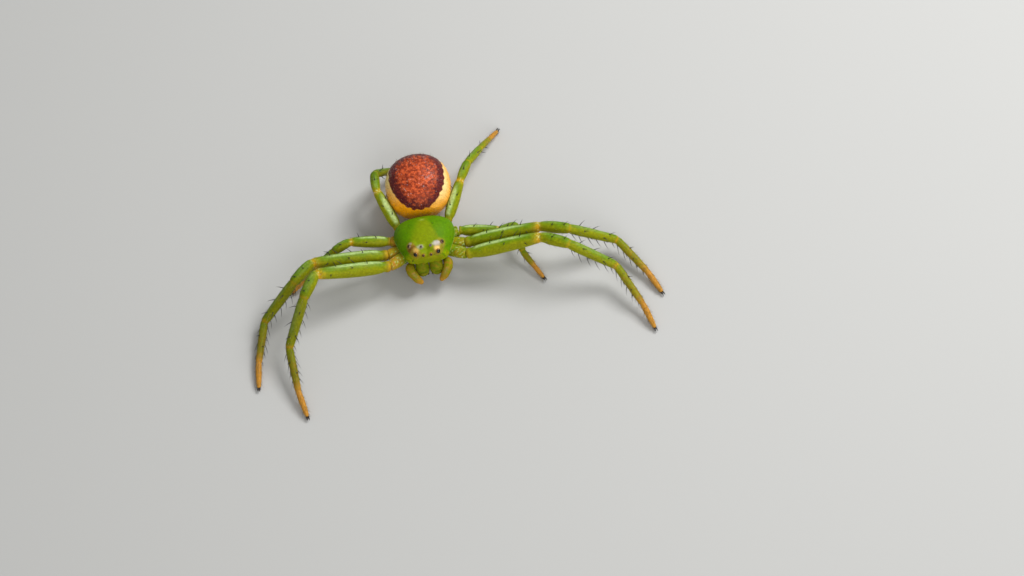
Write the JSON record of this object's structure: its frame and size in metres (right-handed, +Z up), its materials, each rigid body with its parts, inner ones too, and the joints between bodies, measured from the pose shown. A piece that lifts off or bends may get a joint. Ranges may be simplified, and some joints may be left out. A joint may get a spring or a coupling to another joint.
{
  "type": "crab spider",
  "caption": "Small green crab spider with a red-brown mark on its round abdomen, standing with its long front legs held forward and out to the sides; a still life-size model.",
  "frame": {"origin": "middle of the base of the model's box, on the ground plane its feet stand on", "axes": "+Z up, -Y the way the spider faces, +X its left side"},
  "size_m": [0.017, 0.0124, 0.0026],
  "materials": {
    "carapace_shell": "glossy",
    "abdomen_skin": "satin",
    "leg_skin": "satin",
    "palp_skin": "satin",
    "jaw_shell": "glossy",
    "eye_lens": "glossy"
  },
  "bodies": {
    "root": {"abdomen": "abdomen_skin", "cephalothorax": "carapace_shell", "chelicera_left": "jaw_shell", "chelicera_right": "jaw_shell", "eye_anterior_lateral_left": "eye_lens", "eye_anterior_lateral_right": "eye_lens", "eye_anterior_median_left": "eye_lens", "eye_anterior_median_right": "eye_lens", "eye_posterior_lateral_left": "eye_lens", "eye_posterior_lateral_right": "eye_lens", "eye_posterior_median_left": "eye_lens", "eye_posterior_median_right": "eye_lens", "leg_1_left": "leg_skin", "leg_1_right": "leg_skin", "leg_2_left": "leg_skin", "leg_2_right": "leg_skin", "leg_3_left": "leg_skin", "leg_3_right": "leg_skin", "leg_4_left": "leg_skin", "leg_4_right": "leg_skin", "palp_left": "palp_skin", "palp_right": "palp_skin"}
  },
  "joints": []
}
